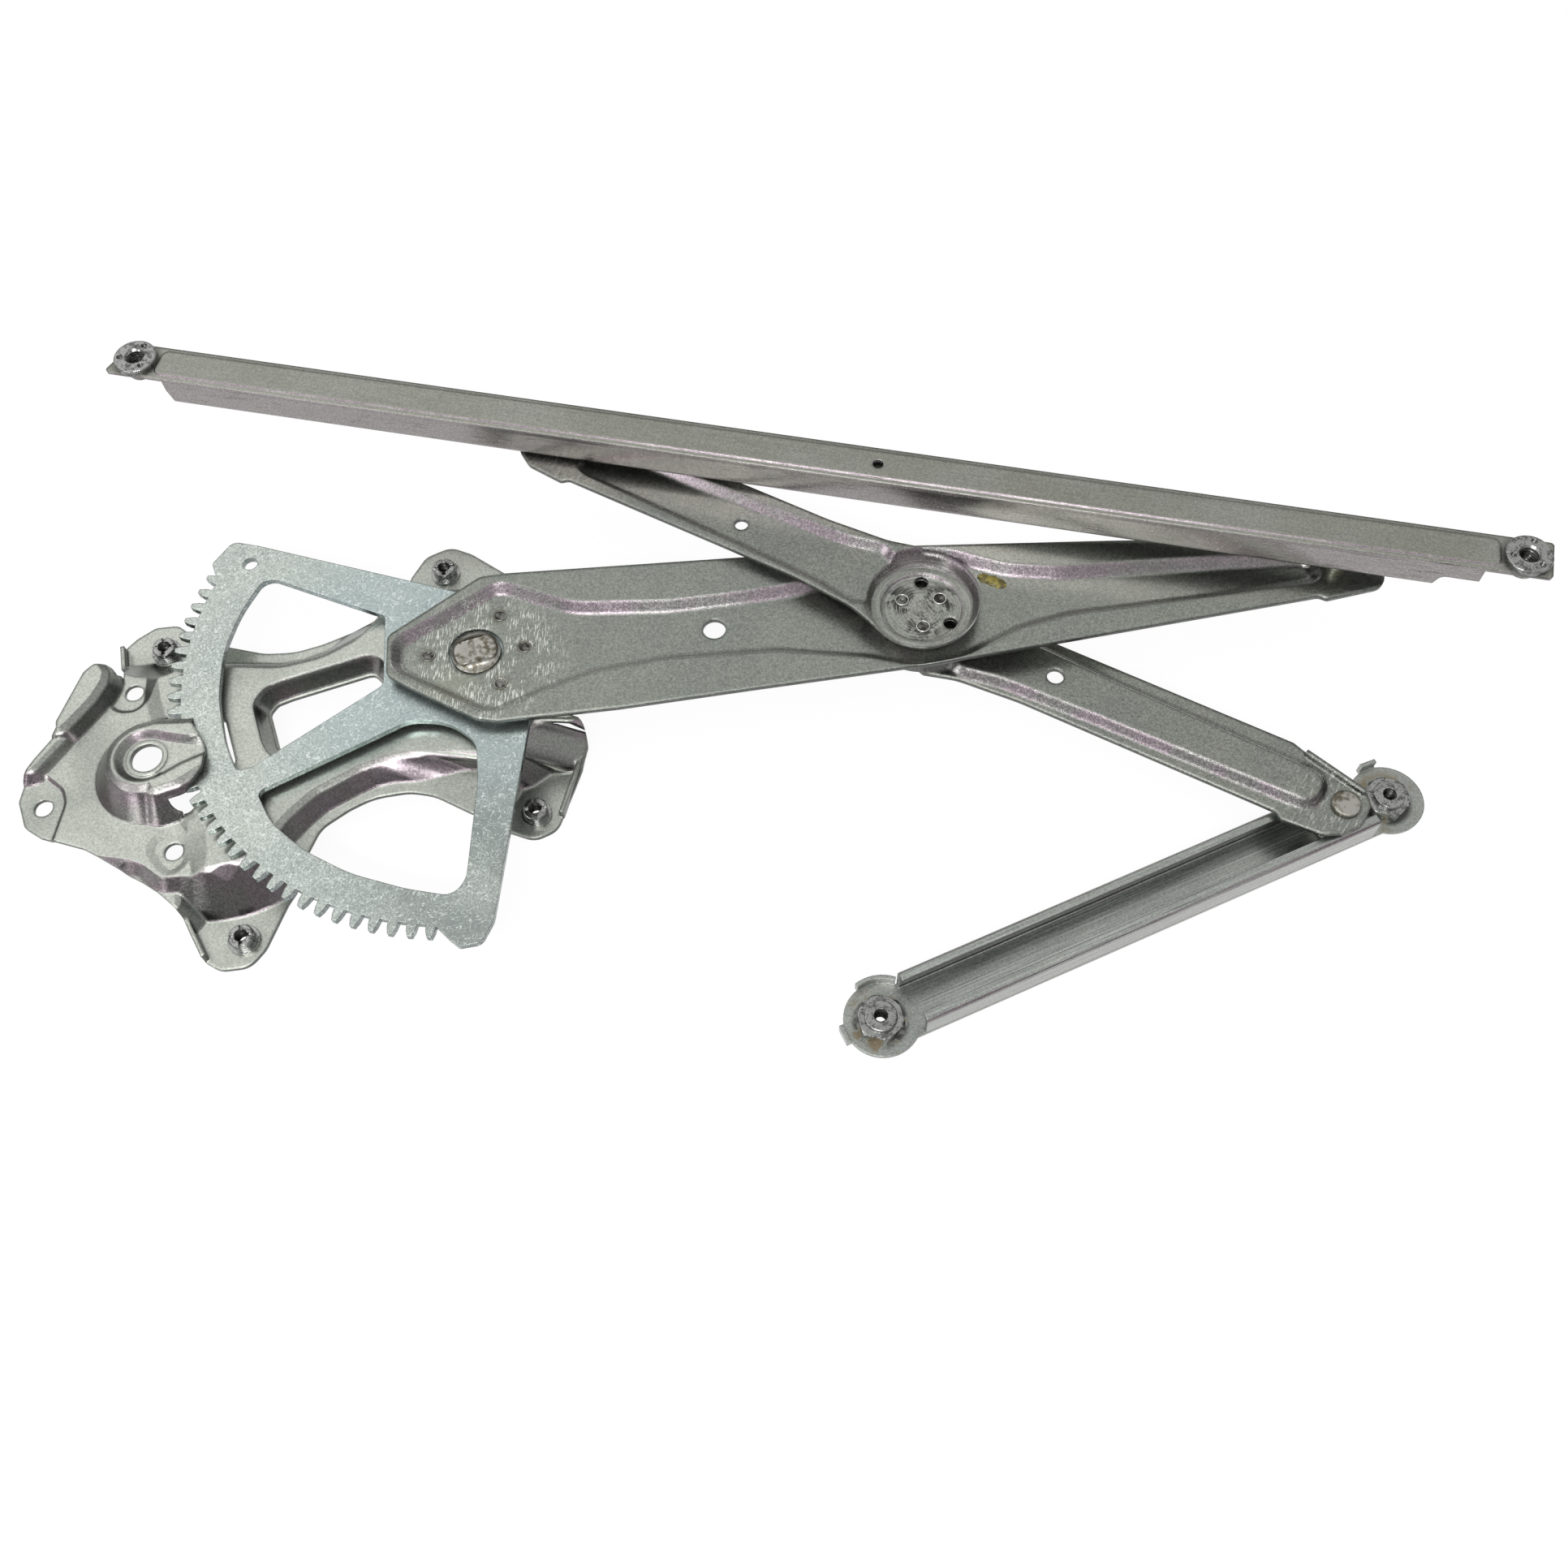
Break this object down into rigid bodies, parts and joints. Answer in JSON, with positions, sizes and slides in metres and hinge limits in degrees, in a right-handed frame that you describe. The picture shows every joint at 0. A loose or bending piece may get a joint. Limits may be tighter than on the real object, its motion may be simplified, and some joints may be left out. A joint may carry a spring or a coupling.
{
  "type": "cross-arm window regulator",
  "caption": "Cross-arm window regulator: mounting plate, toothed sector on a long lift arm, equalizer arm, glass channel and guide rail of bright zinc-plated steel.",
  "frame": {"origin": "centre of the uppermost threaded collar of the mounting plate, in the plane of the door panel", "axes": "+X along the glass channel, +Y in the lifting direction, +Z out of the door panel towards the glass channel"},
  "size_m": [0.5861, 0.2522, 0.0542],
  "materials": {
    "base_zinc": "bright zinc plating, satin",
    "arm_zinc": "bright zinc plating, satin",
    "sector_zinc": "bright zinc plating with a bluish tint",
    "rail_zinc": "bright zinc plating, scuffed",
    "nut_steel": "plated, glossy",
    "pin_steel": "plain steel, worn",
    "roller_plastic": "natural plastic"
  },
  "bodies": {
    "base": {"base_plate": "base_zinc", "panel_nut_upper": "nut_steel", "panel_nut_left": "nut_steel", "panel_nut_lower": "nut_steel", "panel_nut_right": "nut_steel", "pivot_stud": "pin_steel", "pivot_washer": "pin_steel"},
    "lift": {"sector_gear": "sector_zinc", "lift_arm": "arm_zinc", "sector_rivet_1": "pin_steel", "sector_rivet_2": "pin_steel", "sector_rivet_3": "pin_steel", "sector_rivet_4": "pin_steel", "lift_roller_pin": "pin_steel"},
    "equalizer": {"equalizer_front": "arm_zinc", "equalizer_rear": "arm_zinc", "hub_rivet_1": "pin_steel", "hub_rivet_2": "pin_steel", "hub_rivet_3": "pin_steel", "front_roller_pin": "pin_steel", "guide_roller_pin": "pin_steel"},
    "lift_runner": {"lift_roller": "roller_plastic"},
    "front_runner": {"front_roller": "roller_plastic"},
    "glass_rail": {"glass_channel": "rail_zinc", "glass_nut_left": "nut_steel", "glass_nut_right": "nut_steel"},
    "guide_spacer": {"guide_washer": "pin_steel"},
    "guide_runner": {"guide_roller": "roller_plastic"},
    "guide_track": {"guide_rail": "rail_zinc", "guide_nut_left": "nut_steel", "guide_nut_right": "nut_steel"}
  },
  "joints": [
    {"name": "lift_pivot", "type": "hinge", "parent": "base", "child": "lift", "pos_m": [0.0337, -0.0504, 0.0236], "axis": [0, 0, 1], "range_deg": [-55, 32]},
    {"name": "scissor_pivot", "type": "hinge", "parent": "lift", "child": "equalizer", "pos_m": [0.20201, 0.00106, 0.026], "axis": [0, 0, 1], "range_deg": [-70, 116]},
    {"name": "glass_tilt", "type": "hinge", "parent": "lift", "child": "lift_runner", "pos_m": [0.3598, 0.0493, 0.045], "axis": [0, 0, 1], "range_deg": [-40, 60]},
    {"name": "glass_slide", "type": "slide", "parent": "lift_runner", "child": "glass_rail", "axis": [1, 0, 0], "range_m": [-0.015, 0.12]},
    {"name": "front_roller_spin", "type": "hinge", "parent": "equalizer", "child": "front_runner", "pos_m": [0.04422, 0.0493, 0.045], "axis": [0, 0, 1], "continuous": true},
    {"name": "guide_tilt", "type": "hinge", "parent": "equalizer", "child": "guide_spacer", "pos_m": [0.37032, -0.0504, 0.0135], "axis": [0, 0, 1], "range_deg": [-60, 40]},
    {"name": "guide_swing", "type": "hinge", "parent": "guide_spacer", "child": "guide_runner", "pos_m": [0.37032, -0.0504, 0.007], "axis": [0, 0, 1], "range_deg": [-35.4, 50]},
    {"name": "guide_slide", "type": "slide", "parent": "guide_runner", "child": "guide_track", "axis": [0.8151, 0.5793, 0], "range_m": [0, 0.15]}
  ],
  "couplings": [
    {"joint": "scissor_pivot", "follows": "lift_pivot", "ratio": -2},
    {"joint": "glass_tilt", "follows": "lift_pivot", "ratio": -1},
    {"joint": "guide_tilt", "follows": "lift_pivot", "ratio": 1}
  ]
}
